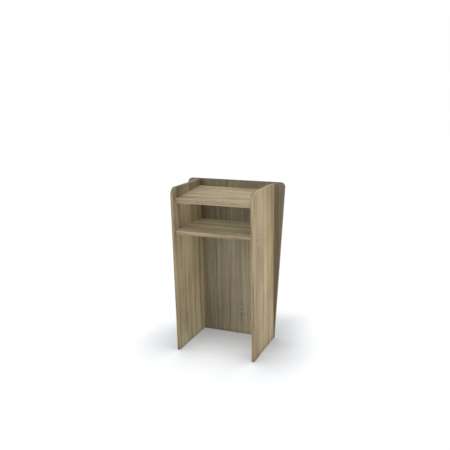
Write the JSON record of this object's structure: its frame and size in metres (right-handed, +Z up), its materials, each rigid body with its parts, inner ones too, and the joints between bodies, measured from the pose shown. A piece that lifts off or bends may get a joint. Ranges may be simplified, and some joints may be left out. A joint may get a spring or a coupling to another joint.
{
  "type": "lectern",
  "caption": "Standing lectern in wood-grain board: sloping reading desk with paper stop, storage shelf, knee space and a tapered front panel.",
  "frame": {"origin": "on the floor, in the middle of the footprint", "axes": "+Z up; +Y towards the audience, through the front panel; +X to the reader's right when facing the audience"},
  "size_m": [0.696, 0.4, 1.107],
  "materials": {
    "board": "matt melamine facing on chipboard, grey-beige oak print",
    "edge_band": "matt plastic edge band, grey-beige oak print",
    "cam_metal": "die-cast zinc alloy, tumbled",
    "bolt_steel": "zinc-plated steel",
    "cap_plastic": "matt moulded plastic in the colour of the board",
    "dowel_wood": "bare beech",
    "glide_plastic": "matt moulded plastic"
  },
  "bodies": {
    "root": {"left_side_panel": "board", "right_side_panel": "board", "front_panel": "board", "desk_board": "board", "shelf_board": "board", "paper_stop": "board", "left_side_edge_band": "edge_band", "right_side_edge_band": "edge_band", "front_panel_edge_band": "edge_band", "shelf_edge_band": "edge_band", "paper_stop_edge_bands": "edge_band", "left_side_cams": "cam_metal", "left_side_cam_bolts": "bolt_steel", "left_side_cam_caps": "cap_plastic", "left_side_dowels": "dowel_wood", "right_side_cams": "cam_metal", "right_side_cam_bolts": "bolt_steel", "right_side_cam_caps": "cap_plastic", "right_side_dowels": "dowel_wood", "shelf_cams": "cam_metal", "shelf_cam_bolts": "bolt_steel", "shelf_cam_caps": "cap_plastic", "shelf_dowels": "dowel_wood", "desk_cams": "cam_metal", "desk_cam_bolts": "bolt_steel", "desk_cam_caps": "cap_plastic", "desk_dowels": "dowel_wood", "paper_stop_dowels": "dowel_wood", "left_side_glides": "glide_plastic", "right_side_glides": "glide_plastic", "front_panel_glides": "glide_plastic"}
  },
  "joints": []
}
